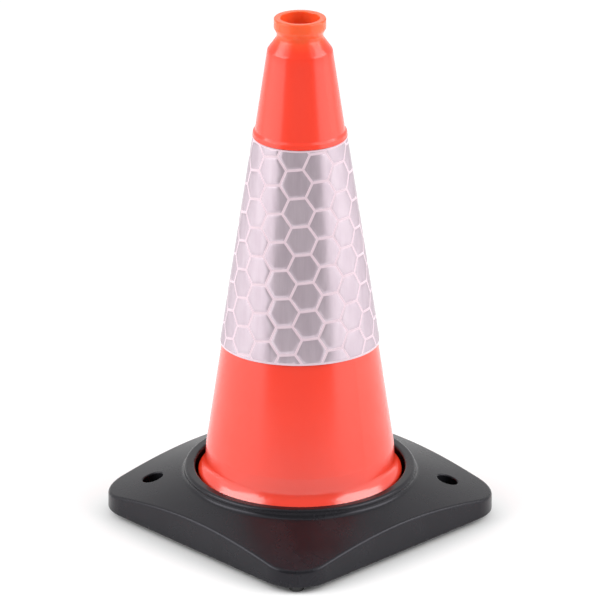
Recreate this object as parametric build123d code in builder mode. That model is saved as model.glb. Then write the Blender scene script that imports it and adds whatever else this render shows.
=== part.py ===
from build123d import *
import os
from math import atan, cos, hypot, radians, sin

# Two-piece road cone: a hollow orange cone whose round foot stands inside the ring of a heavy square
# base. The base drops over the cone from above and rests on the cone's floor flange.
# Millimetres, +Z up along the cone axis, origin on the floor under the middle of the cone.

# ---- Driving dimensions -------------------------------------------------------------------------

# Cone wall: outer radius where the taper starts above the foot and where it ends at the shoulder
cone_height = 450.0
wall_foot_radius = 81.0
wall_top_radius = 27.4
cone_wall = 2.6

# Collar and neck, heights measured down from the top rim
mouth_radius = 16.4
collar_radius = 21.9
collar_depth = 8.6
neck_radius = 19.6
neck_top_drop = 13.2
neck_bottom_drop = 16.6
shoulder_drop = 27.4
mouth_depth = 18.0
rim_round = 1.2
mouth_round = 0.9
neck_round = 1.4
neck_hollow = 4.0
shoulder_round = 5.0

# Retaining lip that holds the sleeve down, its underside measured from the top rim
lip_drop = 103.4
lip_width = 4.2
lip_slope = 1.8
lip_proud = 1.4
lip_round = 0.5

# Foot: a short, nearly upright skirt, a hollow round into the shoulder, a spigot and a floor flange
skirt_height = 66.0
skirt_flare = 0.8
foot_hollow = 12.0
foot_reach = 6.2
foot_fall = 8.0
foot_sink = 4.0
spigot_round = 2.5
flange_reach = 11.0
flange_thickness = 3.0
flange_round = 0.8

# Reflective sleeve: two bonded sheets with an overlap seam. The sheet hangs a little looser towards
# its lower edge, and that edge is cut slightly askew, so that it is longest on one side.
sleeve_length = 189.3
sleeve_gap = 0.3
sleeve_flare = 0.5
sleeve_top_gap = 0.3
sleeve_skew = 8.0
sleeve_long_side = 136.0
backing_thickness = 0.4
film_thickness = 0.35
seam_angle = 14.0
seam_position = 129.0
seam_end_gap = 1.5

# Base
base_side = 256.0
base_corner = 35.0
base_underside = 5.5
base_draft = 1.0
edge_height = 31.4
crown_slope = 0.30
edge_round = 3.0
lower_edge_round = 1.0
ring_clearance = 2.9
ring_wall = 9.4
ring_rise = 6.4
ring_inner_round = 2.0
ring_outer_round = 3.0
ring_foot_hollow = 4.2
seat_clearance = 0.4
base_skin = 7.0
base_roof = 7.0
rib_thickness = 4.0
rib_count = 16

# Fixing holes in two opposite corners
hole_radius = 8.75
hole_inset = 38.0
hole_round = 1.2
boss_wall = 5.5

# Corner studs
stud_radius = 6.4
stud_inset = 17.0
stud_round = 1.8
stem_radius = 3.0
stem_length = 9.0
stem_clearance = 0.05
stud_pad_wall = 5.0

# ---- Worked-out dimensions ----------------------------------------------------------------------

shoulder_height = cone_height - shoulder_drop
lip_height = cone_height - lip_drop
sleeve_top = lip_height - sleeve_top_gap
sleeve_bottom = sleeve_top - sleeve_length
cone_taper = (wall_foot_radius - wall_top_radius) / (shoulder_height - skirt_height)
wall_across = cone_wall * hypot(1, cone_taper)
skirt_bottom_radius = wall_foot_radius + skirt_flare
spigot_radius = skirt_bottom_radius + foot_reach
flange_radius = spigot_radius + flange_reach
ring_bore = spigot_radius + ring_clearance
ring_radius = ring_bore + ring_wall
seat_height = flange_thickness + seat_clearance
base_reach = hypot(base_side, base_side) / 2
hole_half = base_side / 2 - hole_inset
stud_half = base_side / 2 - stud_inset


def wall_radius(height):
    """Outer radius of the tapered cone wall at a height above the floor."""
    return wall_foot_radius - cone_taper * (height - skirt_height)


def crown_height(radius):
    """Height of the base's sloping top surface at a distance from the cone axis."""
    return edge_height - crown_slope * (radius - base_side / 2)


ring_top = crown_height(ring_radius) + ring_rise
spigot_height = ring_top - foot_sink


def turned_section(plane, corners):
    """Section to be turned about the axis, from (radius, height, corner round) points."""
    with BuildSketch(plane) as section:
        with BuildLine():
            Polyline(*[(radius, height) for radius, height, _ in corners], close=True)
        make_face()
        for radius, height, rounding in corners:
            if rounding > 0:
                corner = section.vertices().sort_by_distance((radius, height, 0))[0]
                fillet(corner, rounding)
    return section.sketch


def sheet_section(inner, outer, top):
    """Close the section of a sheet of the sleeve, between two distances from the cone wall."""
    Polyline(
        (wall_radius(sleeve_bottom) + inner + sleeve_flare, sleeve_bottom),
        (wall_radius(sleeve_bottom) + outer + sleeve_flare, sleeve_bottom),
        (wall_radius(top) + outer, top),
        (wall_radius(top) + inner, top),
        close=True,
    )


# ---- Cone ---------------------------------------------------------------------------------------

lip_top = lip_height + lip_width
lip_fade = lip_top + lip_slope
spigot_inside = spigot_radius - cone_wall
inner_shoulder_height = shoulder_height - cone_wall

cone_outside = [
    (flange_radius, 0, flange_round),
    (flange_radius, flange_thickness, flange_round),
    (spigot_radius, flange_thickness, flange_round),
    (spigot_radius, spigot_height, spigot_round),
    (skirt_bottom_radius, spigot_height + foot_fall, foot_hollow),
    (wall_radius(skirt_height), skirt_height, 0),
    (wall_radius(lip_height), lip_height, 0),
    (wall_radius(lip_height) + lip_proud, lip_height, lip_round),
    (wall_radius(lip_top) + lip_proud, lip_top, lip_round),
    (wall_radius(lip_fade), lip_fade, 0),
    (wall_radius(shoulder_height), shoulder_height, shoulder_round),
    (neck_radius, cone_height - neck_bottom_drop, neck_hollow),
    (neck_radius, cone_height - neck_top_drop, neck_round),
    (collar_radius, cone_height - collar_depth, neck_round),
    (collar_radius, cone_height, rim_round),
]
cone_inside = [
    (mouth_radius, cone_height, mouth_round),
    (mouth_radius, cone_height - mouth_depth, neck_round),
    (wall_radius(inner_shoulder_height) - wall_across, inner_shoulder_height, neck_round),
    (wall_radius(skirt_height) - wall_across, skirt_height, 0),
    (skirt_bottom_radius - cone_wall, spigot_height + foot_fall - cone_wall, foot_hollow),
    (spigot_inside, spigot_height - cone_wall, spigot_round),
    (spigot_inside, 0, flange_round),
]

with BuildPart() as cone_body:
    revolve(turned_section(Plane.XZ, cone_outside + cone_inside), axis=Axis.Z)
cone_body.part.label = "cone_body"

# ---- Reflective sleeve --------------------------------------------------------------------------

backing_outside = sleeve_gap + backing_thickness
film_outside = backing_outside + film_thickness
cut_lean = atan(sleeve_skew / 2 / wall_radius(sleeve_bottom))
long_side = radians(sleeve_long_side)
sleeve_cut = Plane(
    origin=(0, 0, sleeve_bottom + sleeve_skew / 2),
    z_dir=(sin(cut_lean) * cos(long_side), sin(cut_lean) * sin(long_side), cos(cut_lean)),
)

with BuildPart() as sleeve_backing:
    with BuildSketch(Plane.XZ):
        with BuildLine():
            sheet_section(sleeve_gap, backing_outside, sleeve_top)
        make_face()
    revolve(axis=Axis.Z)
    split(bisect_by=sleeve_cut, keep=Keep.TOP)
sleeve_backing.part.label = "sleeve_backing"

# The film runs once round and laps over itself at the seam
with BuildPart() as sleeve_film:
    with BuildSketch(Plane.XZ):
        with BuildLine():
            sheet_section(backing_outside, film_outside, sleeve_top)
        make_face()
    revolve(axis=Axis.Z)
    with BuildSketch(Plane.XZ.rotated((0, 0, seam_position))):
        with BuildLine():
            sheet_section(film_outside, film_outside + film_thickness, sleeve_top - seam_end_gap)
        make_face()
    revolve(axis=Axis.Z, revolution_arc=seam_angle)
    split(bisect_by=sleeve_cut, keep=Keep.TOP)
sleeve_film.part.label = "sleeve_film"

# ---- Base ---------------------------------------------------------------------------------------

hole_places = [(hole_half, hole_half), (-hole_half, -hole_half)]
stud_places = {
    "foot_front_right": (stud_half, -stud_half),
    "foot_front_left": (-stud_half, -stud_half),
    "foot_back_left": (-stud_half, stud_half),
    "foot_back_right": (stud_half, stud_half),
}

# Hollow underside between the ring's wall and the skirt, left solid at ribs, bosses and stud pads
with BuildPart() as underside:
    with BuildSketch():
        RectangleRounded(
            base_side - 2 * base_skin, base_side - 2 * base_skin, base_corner - base_skin
        )
    extrude(amount=ring_top)
    with BuildSketch(Plane.XZ):
        with BuildLine():
            Polyline(
                (ring_radius, 0),
                (base_reach, 0),
                (base_reach, crown_height(base_reach) - base_roof),
                (ring_radius, crown_height(ring_radius) - base_roof),
                close=True,
            )
        make_face()
    revolve(axis=Axis.Z, mode=Mode.INTERSECT)
    with BuildSketch():
        with PolarLocations(0, rib_count):
            Rectangle(base_reach, rib_thickness, align=(Align.MIN, Align.CENTER))
        with Locations(*hole_places):
            Circle(hole_radius + boss_wall)
        with Locations(*stud_places.values()):
            Circle(stud_radius + stud_pad_wall)
    extrude(amount=ring_top, mode=Mode.SUBTRACT)

base_section = [
    (ring_bore, seat_height, flange_round),
    (ring_radius, seat_height, 0),
    (ring_radius, base_underside, 0),
    (base_reach, base_underside, 0),
    (base_reach, crown_height(base_reach), 0),
    (ring_radius, crown_height(ring_radius), ring_foot_hollow),
    (ring_radius, ring_top, ring_outer_round),
    (ring_bore, ring_top, ring_inner_round),
]

with BuildPart() as base_plate:
    with BuildSketch():
        RectangleRounded(base_side, base_side, base_corner)
    extrude(amount=ring_top, taper=base_draft)
    revolve(turned_section(Plane.XZ, base_section), axis=Axis.Z, mode=Mode.INTERSECT)
    crown = base_plate.faces().filter_by(GeomType.CONE).sort_by(SortBy.AREA)[-1]
    rim_edges = crown.edges().filter_by(GeomType.CIRCLE, reverse=True)
    fillet(rim_edges, radius=edge_round)
    floor_face = base_plate.faces().filter_by(Axis.Z).sort_by(SortBy.AREA)[-1]
    fillet(floor_face.outer_wire().edges(), radius=lower_edge_round)
    add(underside.part, mode=Mode.SUBTRACT)
    for x, y in hole_places:
        with Locations((x, y, ring_top)):
            Hole(radius=hole_radius)
        hole_top = (x, y, crown_height(hypot(x, y)))
        hole_rims = base_plate.edges(Select.LAST).filter_by(GeomType.LINE, reverse=True)
        fillet(hole_rims.sort_by_distance(hole_top)[0], radius=hole_round)
    with Locations(*[(x, y, base_underside) for x, y in stud_places.values()]):
        Cylinder(
            stem_radius + stem_clearance,
            stem_length + stem_clearance,
            align=(Align.CENTER, Align.CENTER, Align.MIN),
            mode=Mode.SUBTRACT,
        )
base_plate.part.label = "base_plate"

# ---- Corner studs -------------------------------------------------------------------------------

stud_section = [
    (0, 0, 0),
    (stud_radius, 0, stud_round),
    (stud_radius, base_underside, 0),
    (stem_radius, base_underside, 0),
    (stem_radius, base_underside + stem_length, flange_round),
    (0, base_underside + stem_length, 0),
]


def make_stud(x, y, label):
    """One round stud, pressed by its stem into a corner of the base."""
    with BuildPart() as stud:
        revolve(
            turned_section(Plane((x, y, 0), x_dir=(1, 0, 0), z_dir=(0, -1, 0)), stud_section),
            axis=Axis((x, y, 0), (0, 0, 1)),
        )
    stud.part.label = label
    return stud.part


pieces = [cone_body.part, sleeve_backing.part, sleeve_film.part, base_plate.part]
for label, (x, y) in stud_places.items():
    pieces.append(make_stud(x, y, label))

# ---- Files --------------------------------------------------------------------------------------

os.makedirs("parts", exist_ok=True)
for piece in pieces:
    export_step(piece, f"parts/{piece.label}.step")
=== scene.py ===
import random
from math import atan, atan2, cos, hypot, pi, radians, sin, sqrt

import bmesh
import bpy
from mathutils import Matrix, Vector


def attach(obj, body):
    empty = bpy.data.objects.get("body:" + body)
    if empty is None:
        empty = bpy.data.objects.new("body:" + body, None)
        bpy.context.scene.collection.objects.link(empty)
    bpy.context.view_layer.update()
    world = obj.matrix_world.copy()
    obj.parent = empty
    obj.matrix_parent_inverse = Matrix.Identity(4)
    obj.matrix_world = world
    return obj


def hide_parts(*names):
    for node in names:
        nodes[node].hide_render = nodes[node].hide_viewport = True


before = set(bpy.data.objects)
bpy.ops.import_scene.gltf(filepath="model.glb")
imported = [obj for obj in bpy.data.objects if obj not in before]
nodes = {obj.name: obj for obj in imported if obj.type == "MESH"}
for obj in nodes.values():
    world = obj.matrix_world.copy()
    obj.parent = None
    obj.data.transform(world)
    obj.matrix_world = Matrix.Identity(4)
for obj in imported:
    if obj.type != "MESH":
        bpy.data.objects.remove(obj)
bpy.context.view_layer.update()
scene = bpy.context.scene

# Metres, in the row frame: +Z up along the cone axis, origin on the floor.

# ---- Camera -------------------------------------------------------------------------------------

CAMERA_AZIMUTH = radians(46.05)
CAMERA_ELEVATION = radians(21.33)
CAMERA_DISTANCE = 3.7056
CAMERA_ORBIT_HEIGHT = 0.225
CAMERA_AIM_HEIGHT = 0.1975
CAMERA_LENS = 261.8


def toward(azimuth, elevation):
    """Unit vector from the object towards a viewer or lamp. Azimuth 0 looks along +Y."""
    return Vector(
        (sin(azimuth) * cos(elevation), -cos(azimuth) * cos(elevation), sin(elevation))
    )


def aim(obj, target):
    """Point a camera or lamp at a place."""
    obj.rotation_euler = (target - obj.location).to_track_quat("-Z", "Y").to_euler()


def make_camera():
    camera = bpy.data.objects.new("camera", bpy.data.cameras.new("camera"))
    camera.data.lens = CAMERA_LENS
    camera.data.clip_end = 50
    orbit_centre = Vector((0, 0, CAMERA_ORBIT_HEIGHT))
    camera.location = orbit_centre + toward(CAMERA_AZIMUTH, CAMERA_ELEVATION) * CAMERA_DISTANCE
    aim(camera, Vector((0, 0, CAMERA_AIM_HEIGHT)))
    scene.collection.objects.link(camera)
    scene.camera = camera


make_camera()

# ---- Material helpers ---------------------------------------------------------------------------


class Finish:
    """A material with one Principled shader, and short ways to add the nodes that feed it."""

    def __init__(self, name):
        self.material = bpy.data.materials.new(name)
        self.material.use_nodes = True
        self.tree = self.material.node_tree
        self.tree.nodes.clear()
        output = self.tree.nodes.new("ShaderNodeOutputMaterial")
        self.shader = self.tree.nodes.new("ShaderNodeBsdfPrincipled")
        self.tree.links.new(self.shader.outputs["BSDF"], output.inputs["Surface"])
        self.place = self.tree.nodes.new("ShaderNodeTexCoord")

    def link(self, source, target):
        self.tree.links.new(source, target)

    def set(self, **values):
        """Plain numbers and colours on the shader, by socket name with _ for spaces."""
        for name, value in values.items():
            self.shader.inputs[name.replace("_", " ")].default_value = value

    def noise(self, scale, detail=3.0, roughness=0.5, stretch=(1, 1, 1), source="Object"):
        """Fractal noise, 0 to 1, over the object's own coordinates or its flat sheet."""
        mapping = self.tree.nodes.new("ShaderNodeMapping")
        mapping.inputs["Scale"].default_value = stretch
        self.link(self.place.outputs[source], mapping.inputs["Vector"])
        texture = self.tree.nodes.new("ShaderNodeTexNoise")
        texture.inputs["Scale"].default_value = scale
        texture.inputs["Detail"].default_value = detail
        texture.inputs["Roughness"].default_value = roughness
        self.link(mapping.outputs["Vector"], texture.inputs["Vector"])
        return texture.outputs["Fac"]

    def ramp(self, source, low, high, low_value=0.0, high_value=1.0):
        """Value that goes smoothly from one number to another as the source passes a range."""
        node = self.tree.nodes.new("ShaderNodeMapRange")
        node.interpolation_type = "SMOOTHSTEP"
        node.inputs["From Min"].default_value = low
        node.inputs["From Max"].default_value = high
        node.inputs["To Min"].default_value = low_value
        node.inputs["To Max"].default_value = high_value
        self.link(source, node.inputs["Value"])
        return node.outputs["Result"]

    def math(self, operation, a, b):
        node = self.tree.nodes.new("ShaderNodeMath")
        node.operation = operation
        for socket, value in zip(node.inputs, (a, b)):
            if isinstance(value, (int, float)):
                socket.default_value = value
            else:
                self.link(value, socket)
        return node.outputs["Value"]

    def mix(self, factor, first, second):
        """Colour between two colours or colour sockets."""
        node = self.tree.nodes.new("ShaderNodeMix")
        node.data_type = "RGBA"
        sockets = [s for s in node.inputs if s.type == "RGBA"]
        for socket, value in zip(sockets, (first, second)):
            if isinstance(value, tuple):
                socket.default_value = (*value, 1)
            else:
                self.link(value, socket)
        self.link(factor, node.inputs["Factor"])
        return [s for s in node.outputs if s.type == "RGBA"][0]

    def bump(self, height, distance, strength=1.0, below=None):
        node = self.tree.nodes.new("ShaderNodeBump")
        node.inputs["Distance"].default_value = distance
        node.inputs["Strength"].default_value = strength
        self.link(height, node.inputs["Height"])
        if below is not None:
            self.link(below, node.inputs["Normal"])
        return node.outputs["Normal"]

    def height(self):
        """Height above the floor."""
        split = self.tree.nodes.new("ShaderNodeSeparateXYZ")
        self.link(self.place.outputs["Object"], split.inputs["Vector"])
        return split.outputs["Z"]


# ---- Materials ----------------------------------------------------------------------------------

# Heights above the floor between which the cone's finish goes from one state to the other
SCUFFED_BELOW, CLEAN_ABOVE = 0.03, 0.10
POLISHED_BELOW, SATIN_ABOVE = 0.050, 0.075
SATIN_BELOW, DULL_ABOVE = 0.412, 0.430
# Heights over which the collar's painted glow comes in: its colour painted brighter and yellower
PLAIN_BELOW, PAINTED_GLOW_ABOVE = 0.424, 0.441

# Heights between which the dust along the base's lower edge fades out
DUSTY_BELOW, BLACK_ABOVE = 0.004, 0.012


def orange_plastic():
    """Satin moulded polyethylene: slow waviness, fine grain, faint handling scuffs near the foot.

    The foot is polished and the shoulder duller. The collar is small and open inside; its colour
    is painted brighter and more yellow, a painted glow for light coming through it, and its
    subsurface weight is raised there.
    """
    finish = Finish("orange_plastic")
    cloud = finish.noise(9, detail=2)
    colour = finish.mix(
        finish.ramp(cloud, 0.3, 0.7), (0.96, 0.042, 0.014), (1.00, 0.049, 0.018)
    )
    scuff_noise = finish.noise(70, detail=6, roughness=0.7, stretch=(1, 1, 0.25))
    low_down = finish.ramp(finish.height(), SCUFFED_BELOW, CLEAN_ABOVE, 1.0, 0.1)
    scuffs = finish.math("MULTIPLY", finish.ramp(scuff_noise, 0.66, 0.82), low_down)
    colour = finish.mix(finish.math("MULTIPLY", scuffs, 0.25), colour, (1.0, 0.30, 0.20))
    # Painted glow: the collar's colour is painted brighter and yellower to stand in for light
    # through it
    painted_glow_zone = finish.ramp(finish.height(), PLAIN_BELOW, PAINTED_GLOW_ABOVE)
    colour = finish.mix(painted_glow_zone, colour, (1.0, 0.125, 0.036))
    finish.link(colour, finish.shader.inputs["Base Color"])
    grain = finish.noise(260, detail=2)
    satin = finish.ramp(grain, 0.3, 0.7, 0.16, 0.20)
    rubbed = finish.math("MULTIPLY", scuffs, 0.15)
    finish.link(finish.math("ADD", satin, rubbed), finish.shader.inputs["Roughness"])
    waves = finish.noise(22, detail=1, stretch=(1, 1, 0.3))
    wavy = finish.bump(waves, 0.0012, 0.25)
    finish.link(finish.bump(grain, 0.00006, 0.5, wavy), finish.shader.inputs["Normal"])
    foot_gloss = finish.ramp(finish.height(), POLISHED_BELOW, SATIN_ABOVE, 1.0, 0.8)
    shoulder_gloss = finish.ramp(finish.height(), SATIN_BELOW, DULL_ABOVE, 1.0, 0.55)
    gloss = finish.math("MULTIPLY", foot_gloss, shoulder_gloss)
    finish.link(gloss, finish.shader.inputs["Specular IOR Level"])
    finish.link(finish.ramp(painted_glow_zone, 0, 1, 0.15, 0.5), finish.shader.inputs["Subsurface Weight"])
    finish.set(IOR=1.5, Subsurface_Scale=1.0, Subsurface_Radius=(0.006, 0.0012, 0.0005))
    return finish.material


def black_rubber():
    """Satin black moulding: slight mottle, fine grain, and pale dust along the lower edge."""
    finish = Finish("black_rubber")
    mottle = finish.noise(30, detail=5, roughness=0.6)
    colour = finish.mix(
        finish.ramp(mottle, 0.3, 0.7), (0.0065, 0.0065, 0.0080), (0.010, 0.010, 0.0120)
    )
    speck = finish.noise(420, detail=3, roughness=0.7)
    low_edge = finish.ramp(finish.height(), DUSTY_BELOW, BLACK_ABOVE, 1.0, 0.0)
    dust = finish.math("MULTIPLY", finish.ramp(speck, 0.58, 0.75), low_edge)
    colour = finish.mix(finish.math("MULTIPLY", dust, 0.5), colour, (0.12, 0.115, 0.11))
    finish.link(colour, finish.shader.inputs["Base Color"])
    roughness = finish.ramp(mottle, 0.25, 0.75, 0.23, 0.30)
    finish.link(roughness, finish.shader.inputs["Roughness"])
    grain = finish.bump(finish.noise(500, detail=1), 0.00003, 0.15)
    finish.link(grain, finish.shader.inputs["Normal"])
    finish.set(IOR=1.5, Specular_IOR_Level=0.31, Specular_Tint=(0.92, 0.89, 1, 1))
    return finish.material


def stud_rubber():
    """Smooth, slightly glossy black rubber of the corner studs."""
    finish = Finish("stud_rubber")
    mottle = finish.noise(90, detail=4)
    colour = finish.mix(mottle, (0.010, 0.010, 0.0105), (0.018, 0.018, 0.019))
    finish.link(colour, finish.shader.inputs["Base Color"])
    finish.link(finish.ramp(mottle, 0.3, 0.7, 0.16, 0.26), finish.shader.inputs["Roughness"])
    finish.set(IOR=1.5)
    return finish.material


def sheet_plastic(name, colour_low, colour_high):
    """Soft white PVC: the welded honeycomb lines, the borders and the backing."""
    finish = Finish(name)
    cloud = finish.noise(60, detail=3)
    finish.link(finish.mix(cloud, colour_low, colour_high), finish.shader.inputs["Base Color"])
    grain = finish.noise(700, detail=2)
    finish.link(finish.ramp(grain, 0.3, 0.7, 0.34, 0.44), finish.shader.inputs["Roughness"])
    finish.link(finish.bump(grain, 0.00005, 0.4), finish.shader.inputs["Normal"])
    finish.set(IOR=1.5)
    return finish.material


def prism_film():
    """Prismatic cells: a silvery grey micro-prism face under clear film, finely streaked."""
    finish = Finish("prism_film")
    streaks = finish.noise(1, detail=4, roughness=0.65, stretch=(900, 40, 1), source="UV")
    broad = finish.noise(1, detail=2, stretch=(160, 30, 1), source="UV")
    tone = finish.tree.nodes.new("ShaderNodeAttribute")
    tone.attribute_name = "cell_tone"
    fine_share = finish.math("MULTIPLY", streaks, 0.45)
    broad_share = finish.math("MULTIPLY", broad, 0.55)
    cell_share = finish.math("MULTIPLY", tone.outputs["Fac"], 0.12)
    grey = finish.math("ADD", finish.math("ADD", fine_share, broad_share), cell_share)
    colour = finish.mix(
        finish.ramp(grey, 0.30, 0.85), (0.55, 0.455, 0.515), (0.67, 0.57, 0.63)
    )
    finish.link(colour, finish.shader.inputs["Base Color"])
    finish.link(finish.ramp(streaks, 0.3, 0.7, 0.21, 0.27), finish.shader.inputs["Roughness"])
    finish.link(finish.bump(streaks, 0.00001, 0.5), finish.shader.inputs["Normal"])
    finish.set(Metallic=0.6, Specular_IOR_Level=0.3, Specular_Tint=(0.55, 0.5, 0.53, 1))
    finish.set(Coat_Weight=0.1, Coat_Roughness=0.15, Coat_IOR=1.4)
    return finish.material


orange = orange_plastic()
rubber = black_rubber()
stud_black = stud_rubber()
seal = sheet_plastic("seal_plastic", (0.70, 0.54, 0.61), (0.74, 0.59, 0.65))
backing_white = sheet_plastic("backing_plastic", (0.72, 0.64, 0.67), (0.80, 0.73, 0.75))
prism = prism_film()


def paint(node, material):
    mesh = nodes[node].data
    mesh.materials.clear()
    mesh.materials.append(material)


paint("cone_body", orange)
paint("base_plate", rubber)
paint("sleeve_backing", backing_white)
for name in sorted(nodes):
    if name.startswith("foot_"):
        paint(name, stud_black)

# ---- Honeycomb film -----------------------------------------------------------------------------

# Lattice of cells on the flat sheet: width across a cell's flat sides, tilt, and where its origin
# lies, below the sheet's top edge and beside the middle of its front
CELL_PITCH = 0.02416
LATTICE_TILT = radians(5.2)
LATTICE_DROP = 0.0284
LATTICE_SHIFT = -0.0034

# Welded lines and borders: width, depth below the film's face, the ramp up to a cell's face, and
# the share of the depth that is left at the edge of that face
CELL_LINE = 0.0022
LINE_DEPTH = 0.00018
LINE_RAMP = 0.0004
EDGE_SINK = 0.25
LOWER_BORDER = 0.0016
UPPER_BORDER = 0.0014

# Mesh of one cell: points along each side, and rings inside its face as shares of its size
SIDE_STEPS = 6
CELL_RINGS = (0.78, 0.52, 0.26)

# Angle over which the lap rises onto the sheet's start
LAP_RAMP = radians(0.8)

# Margins in radians: cells kept past the sheet's ends, and vertices near the sleeve's short side
OVERHANG = 0.5
NEARBY = 0.2

# Margins in metres: what counts as touching, on a border, and on a cut
TOUCHING = 1e-6
ON_BORDER = 1e-5
ON_CUT = 1e-7

CREASE = radians(40)
CELL_TONE_SEED = 7
PRISM_SLOT, SEAL_SLOT = 0, 1
ACROSS, DOWN = 0, 1


def radius_of(point):
    return hypot(point.x, point.y)


def angle_between(a, b):
    """Signed angle from b to a, within half a turn either way."""
    return (a - b + pi) % (2 * pi) - pi


def lowest_outer(points):
    """The lowest of some points, and of those the one farthest from the axis."""
    return min(points, key=lambda v: (round(v.z, 5), -radius_of(v)))


class Sleeve:
    """The sleeve's cone, measured on its CAD sheets, and how its unrolled flat shape maps to it."""

    def __init__(self):
        backing = [v.co for v in nodes["sleeve_backing"].data.vertices]
        film = [v.co for v in nodes["sleeve_film"].data.vertices]
        top = max(v.z for v in backing)
        top_radius = max(radius_of(v) for v in backing if v.z > top - TOUCHING)
        film_top_radius = max(radius_of(v) for v in film if v.z > top - TOUCHING)
        self.thickness = film_top_radius - top_radius

        lowest = lowest_outer(backing)
        self.long_side = atan2(lowest.y, lowest.x)
        slope = (radius_of(lowest) - top_radius) / (top - lowest.z)
        self.half_angle = atan(slope)
        self.apex = top + top_radius / slope
        self.top_slant = top_radius / sin(self.half_angle)

        short_side = self.long_side + pi
        shortest = lowest_outer(
            v for v in backing if abs(angle_between(atan2(v.y, v.x), short_side)) < NEARBY
        )
        self.cut_slope = (shortest.z - lowest.z) / (radius_of(shortest) + radius_of(lowest))
        self.cut_centre = lowest.z + self.cut_slope * radius_of(lowest)

        lap = [
            angle_between(atan2(v.y, v.x), self.long_side)
            for v in film
            if radius_of(v) > (self.apex - v.z) * slope + 1.5 * self.thickness
        ]
        self.start = self.long_side + min(lap) - 2 * pi
        self.end = self.long_side + max(lap)
        self.front = CAMERA_AZIMUTH - pi / 2

    def lower_slant(self, turn):
        """Distance from the apex down to the sleeve's askew lower edge."""
        lean = self.cut_slope * sin(self.half_angle) * cos(turn - self.long_side)
        return (self.apex - self.cut_centre) / (cos(self.half_angle) - lean)

    def place(self, turn, slant, lift):
        """Point on the cone, lifted off the backing's outer face along its normal."""
        radius = slant * sin(self.half_angle) + lift * cos(self.half_angle)
        height = self.apex - slant * cos(self.half_angle) + lift * sin(self.half_angle)
        return Vector((radius * cos(turn), radius * sin(turn), height))

    def roll(self, x, y):
        """Turn and slant of a point of the flat sheet, whose x runs across and y down."""
        return self.front + atan2(x, y) / sin(self.half_angle), hypot(x, y)

    def unroll(self, turn, slant):
        """Point of the flat sheet at a turn and slant."""
        flat_angle = (turn - self.front) * sin(self.half_angle)
        return slant * sin(flat_angle), slant * cos(flat_angle)


def cell_outline():
    """Points round a cell of the flat sheet, flat sides across the columns, from its centre."""
    corner_radius = CELL_PITCH / sqrt(3)
    angles = [LATTICE_TILT + (k + 0.5) * pi / 3 for k in range(7)]
    corners = [(corner_radius * sin(angle), corner_radius * cos(angle)) for angle in angles]
    return [
        (ax + (bx - ax) * step / SIDE_STEPS, ay + (by - ay) * step / SIDE_STEPS)
        for (ax, ay), (bx, by) in zip(corners, corners[1:])
        for step in range(SIDE_STEPS)
    ]


def cell_centres(sleeve):
    """Centres of every cell that can reach the sheet, column by column."""
    down = Vector((sin(LATTICE_TILT), cos(LATTICE_TILT))) * CELL_PITCH
    across = Vector((cos(LATTICE_TILT), -sin(LATTICE_TILT))) * CELL_PITCH * sqrt(3) / 2
    origin = Vector((LATTICE_SHIFT, sleeve.top_slant + LATTICE_DROP))
    reach = sleeve.lower_slant(sleeve.long_side) + CELL_PITCH
    columns = int(reach / CELL_PITCH) + 1
    for column in range(-columns, columns + 1):
        for row in range(-2 * columns, 2 * columns + 1):
            centre = origin + across * column + down * (row + 0.5 * (column % 2))
            turn, slant = sleeve.roll(centre.x, centre.y)
            on_sheet = sleeve.start - OVERHANG < turn < sleeve.end + OVERHANG
            if centre.y > 0 and on_sheet and sleeve.top_slant - CELL_PITCH < slant < reach:
                yield centre


def add_cell(bm, sleeve, centre, outline, shared, tone_layer, tone):
    """One raised cell and its half of the welded lines round it. x is turn, y is slant."""
    apothem = CELL_PITCH / 2
    line_share = (apothem - CELL_LINE / 2) / apothem
    face_share = (apothem - CELL_LINE / 2 - LINE_RAMP) / apothem
    line_lift = sleeve.thickness - LINE_DEPTH
    edge_lift = sleeve.thickness - EDGE_SINK * LINE_DEPTH
    levels = [(1.0, line_lift), (line_share, line_lift), (face_share, edge_lift)]
    levels += [(face_share * share, sleeve.thickness) for share in CELL_RINGS]
    rings = []
    for share, lift in levels:
        ring = []
        for x, y in outline:
            flat = (centre.x + x * share, centre.y + y * share)
            key = (round(flat[0], 6), round(flat[1], 6)) if share == 1.0 else None
            vertex = shared.get(key)
            if vertex is None:
                vertex = bm.verts.new((*sleeve.roll(*flat), lift))
                if key is not None:
                    shared[key] = vertex
            ring.append(vertex)
        rings.append(ring)
    middle = bm.verts.new((*sleeve.roll(*centre), sleeve.thickness))
    count = len(outline)
    for level, (outer, inner) in enumerate(zip(rings, rings[1:])):
        for k in range(count):
            after = (k + 1) % count
            face = bm.faces.new((outer[k], outer[after], inner[after], inner[k]))
            face.material_index = SEAL_SLOT if level == 0 else PRISM_SLOT
            face[tone_layer] = tone
    for k in range(count):
        face = bm.faces.new((rings[-1][k], rings[-1][(k + 1) % count], middle))
        face[tone_layer] = tone


def cut(bm, point, normal, keep_all=False):
    """Cut the flat sheet along a line, and drop what lies on the normal's side."""
    geometry = bm.verts[:] + bm.edges[:] + bm.faces[:]
    bmesh.ops.bisect_plane(
        bm, geom=geometry, dist=ON_CUT, plane_co=point, plane_no=normal, clear_outer=not keep_all
    )


def extend(bm, axis, border, steps):
    """Grow a strip from the boundary that lies on a border, by steps of (new place, lift)."""
    edges = [
        e
        for e in bm.edges
        if e.is_boundary and all(abs(v.co[axis] - border) < ON_BORDER for v in e.verts)
    ]
    for place, lift in steps:
        grown = bmesh.ops.extrude_edge_only(bm, edges=edges)["geom"]
        for element in grown:
            if isinstance(element, bmesh.types.BMVert):
                element.co[axis] = place
                element.co.z = lift
            elif isinstance(element, bmesh.types.BMFace):
                element.material_index = SEAL_SLOT
        fresh = {e for e in grown if isinstance(e, bmesh.types.BMVert)}
        edges = [
            e
            for e in grown
            if isinstance(e, bmesh.types.BMEdge) and all(v in fresh for v in e.verts)
        ]


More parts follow.
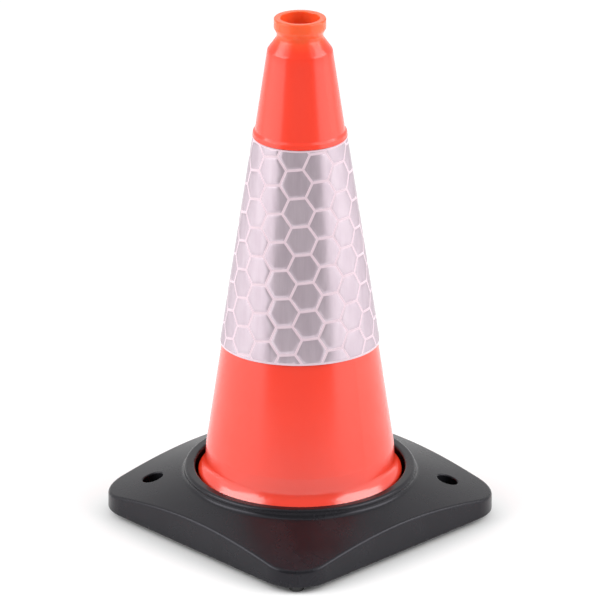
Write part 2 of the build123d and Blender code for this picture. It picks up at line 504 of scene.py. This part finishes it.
def add_cells(bm, sleeve):
    """Honeycomb that covers the sheet and runs a little past its edges."""
    tone_layer = bm.faces.layers.float.new("cell_tone")
    tones = random.Random(CELL_TONE_SEED)
    shared = {}
    outline = cell_outline()
    for centre in cell_centres(sleeve):
        add_cell(bm, sleeve, centre, outline, shared, tone_layer, tones.random())


def slide_down(bm, sleeve, sign):
    """Measure slant from the askew lower edge (sign -1), or from the apex again (sign 1)."""
    for vertex in bm.verts:
        vertex.co.y += sign * sleeve.lower_slant(vertex.co.x)


def trim_to_sheet(bm, sleeve, lap):
    """Cut the honeycomb to the sheet's four edges, and give each edge its welded border."""
    line_lift = sleeve.thickness - LINE_DEPTH
    top = sleeve.top_slant
    upper = top + UPPER_BORDER
    cut(bm, (0, upper, 0), (0, -1, 0))
    extend(bm, DOWN, upper, [(upper - LINE_RAMP, line_lift), (top, line_lift), (top, 0)])

    slide_down(bm, sleeve, -1)
    lower = -LOWER_BORDER
    cut(bm, (0, lower, 0), (0, 1, 0))
    extend(bm, DOWN, lower, [(lower + LINE_RAMP, line_lift), (0, line_lift), (0, 0)])
    slide_down(bm, sleeve, 1)

    cut(bm, (sleeve.start, 0, 0), (-1, 0, 0))
    cut(bm, (sleeve.end, 0, 0), (1, 0, 0))
    extend(bm, ACROSS, sleeve.start, [(sleeve.start, 0)])
    extend(bm, ACROSS, sleeve.end, [(sleeve.end, 0)])
    cut(bm, (lap, 0, 0), (1, 0, 0), keep_all=True)
    cut(bm, (lap + LAP_RAMP, 0, 0), (1, 0, 0), keep_all=True)


def wrap_round(bm, sleeve, lap):
    """Bend the flat sheet round the cone, its lap over its start, and keep the flat shape as UV.

    Vertices that fall together, where the borders meet at the corners, are joined.
    """
    flat = {}
    for vertex in bm.verts:
        turn, slant, lift = vertex.co
        flat[vertex] = sleeve.unroll(turn, slant)
        lap_share = min(1.0, max(0.0, (turn - lap) / LAP_RAMP))
        vertex.co = sleeve.place(turn, slant, lift + lap_share * sleeve.thickness)
    sheet = bm.loops.layers.uv.new("sheet")
    for face in bm.faces:
        face.smooth = True
        for loop in face.loops:
            loop[sheet].uv = flat[loop.vert]
    bmesh.ops.remove_doubles(bm, verts=bm.verts[:], dist=TOUCHING)
    bm.normal_update()
    outward = sum(f.normal.dot(Vector((*f.calc_center_median().xy, 0))) for f in bm.faces)
    if outward < 0:
        bmesh.ops.reverse_faces(bm, faces=bm.faces[:])


def make_film():
    """The film: one sheet of honeycomb, welded lines recessed, wrapped round and lapped."""
    sleeve = Sleeve()
    lap = sleeve.start + 2 * pi
    bm = bmesh.new()
    add_cells(bm, sleeve)
    trim_to_sheet(bm, sleeve, lap)
    wrap_round(bm, sleeve, lap)
    mesh = bpy.data.meshes.new("honeycomb_film")
    bm.to_mesh(mesh)
    bm.free()
    mesh.materials.append(prism)
    mesh.materials.append(seal)
    mesh.set_sharp_from_angle(angle=CREASE)
    film = bpy.data.objects.new("honeycomb_film", mesh)
    scene.collection.objects.link(film)
    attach(film, "sleeve")
    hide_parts("sleeve_film")


make_film()

# ---- Studio -------------------------------------------------------------------------------------

FLOOR_RADIUS = 1.7
FLOOR_SETBACK = 0.8
FLOOR_WHITE = 0.92
FLOOR_SEGMENTS = 96

# Brightness of the white surroundings, and where it changes: 0 is straight behind the object as
# the camera sees it, 0.5 to either side, and 1 straight in front
WORLD_SCALE = 2.15
WORLD_BEHIND = 0.42
WORLD_BESIDE = 0.66
WORLD_IN_FRONT = 0.185
BEHIND_END, BESIDE_START = 0.28, 0.40
BESIDE_END, IN_FRONT_START = 0.80, 0.86

# Softboxes, by angle from the camera's direction; distances in metres, power in watts
LEFT_SOFTBOX_AZIMUTH = radians(-78)
RIGHT_SOFTBOX_AZIMUTH = radians(80)
SOFTBOX_ELEVATION = radians(32)
SOFTBOX_DISTANCE = 2.2
SOFTBOX_WIDTH = 2.0
SOFTBOX_HEIGHT = 1.1
SOFTBOX_POWER = 22


def make_floor():
    """Round white table top, mostly behind the object."""
    bm = bmesh.new()
    bmesh.ops.create_circle(bm, cap_ends=True, segments=FLOOR_SEGMENTS, radius=FLOOR_RADIUS)
    mesh = bpy.data.meshes.new("floor")
    bm.to_mesh(mesh)
    bm.free()
    floor = bpy.data.objects.new("floor", mesh)
    scene.collection.objects.link(floor)
    floor.location = toward(CAMERA_AZIMUTH, 0) * -FLOOR_SETBACK
    finish = Finish("floor")
    white = (FLOOR_WHITE, FLOOR_WHITE, FLOOR_WHITE, 1)
    finish.set(Base_Color=white, Roughness=0.9, Specular_IOR_Level=0.1)
    mesh.materials.append(finish.material)


def make_world():
    """White studio, bright at the sides, softer behind and dim towards the camera at any height.

    The camera itself sees plain white.
    """
    world = bpy.data.worlds.new("studio")
    world.use_nodes = True
    tree = world.node_tree
    background = tree.nodes["Background"]

    def add(kind, operation=None):
        node = tree.nodes.new(kind)
        if operation:
            node.operation = operation
        return node

    place = add("ShaderNodeTexCoord")
    level = add("ShaderNodeVectorMath", "MULTIPLY")
    level.inputs[1].default_value = (1, 1, 0)
    tree.links.new(place.outputs["Generated"], level.inputs[0])
    azimuth = add("ShaderNodeVectorMath", "NORMALIZE")
    tree.links.new(level.outputs["Vector"], azimuth.inputs[0])
    facing = add("ShaderNodeVectorMath", "DOT_PRODUCT")
    facing.inputs[1].default_value = toward(CAMERA_AZIMUTH, 0)
    tree.links.new(azimuth.outputs["Vector"], facing.inputs[0])
    share = add("ShaderNodeMapRange")
    share.inputs["From Min"].default_value = -1
    tree.links.new(facing.outputs["Value"], share.inputs["Value"])

    strength = add("ShaderNodeFloatCurve")
    curve = strength.mapping.curves[0]
    curve.points[0].location = (0, WORLD_BEHIND)
    curve.points[1].location = (1, WORLD_IN_FRONT)
    curve.points.new(BEHIND_END, WORLD_BEHIND)
    curve.points.new(BESIDE_START, WORLD_BESIDE)
    curve.points.new(BESIDE_END, WORLD_BESIDE)
    curve.points.new(IN_FRONT_START, WORLD_IN_FRONT)
    strength.mapping.update()
    tree.links.new(share.outputs["Result"], strength.inputs["Value"])
    scale = add("ShaderNodeMath", "MULTIPLY")
    scale.inputs[1].default_value = WORLD_SCALE
    tree.links.new(strength.outputs["Value"], scale.inputs[0])

    path = add("ShaderNodeLightPath")
    seen = add("ShaderNodeMix")
    tree.links.new(path.outputs["Is Camera Ray"], seen.inputs[0])
    tree.links.new(scale.outputs["Value"], seen.inputs[2])
    seen.inputs[3].default_value = 1
    tree.links.new(seen.outputs[0], background.inputs["Strength"])
    background.inputs["Color"].default_value = (1, 1, 1, 1)
    scene.world = world


def add_softbox(name, azimuth):
    data = bpy.data.lights.new(name, "AREA")
    data.shape = "RECTANGLE"
    data.size = SOFTBOX_WIDTH
    data.size_y = SOFTBOX_HEIGHT
    data.energy = SOFTBOX_POWER
    lamp = bpy.data.objects.new(name, data)
    target = Vector((0, 0, CAMERA_ORBIT_HEIGHT))
    lamp.location = target + toward(CAMERA_AZIMUTH + azimuth, SOFTBOX_ELEVATION) * SOFTBOX_DISTANCE
    aim(lamp, target)
    scene.collection.objects.link(lamp)


make_floor()
make_world()
add_softbox("softbox_left", LEFT_SOFTBOX_AZIMUTH)
add_softbox("softbox_right", RIGHT_SOFTBOX_AZIMUTH)
scene.view_settings.view_transform = "Standard"
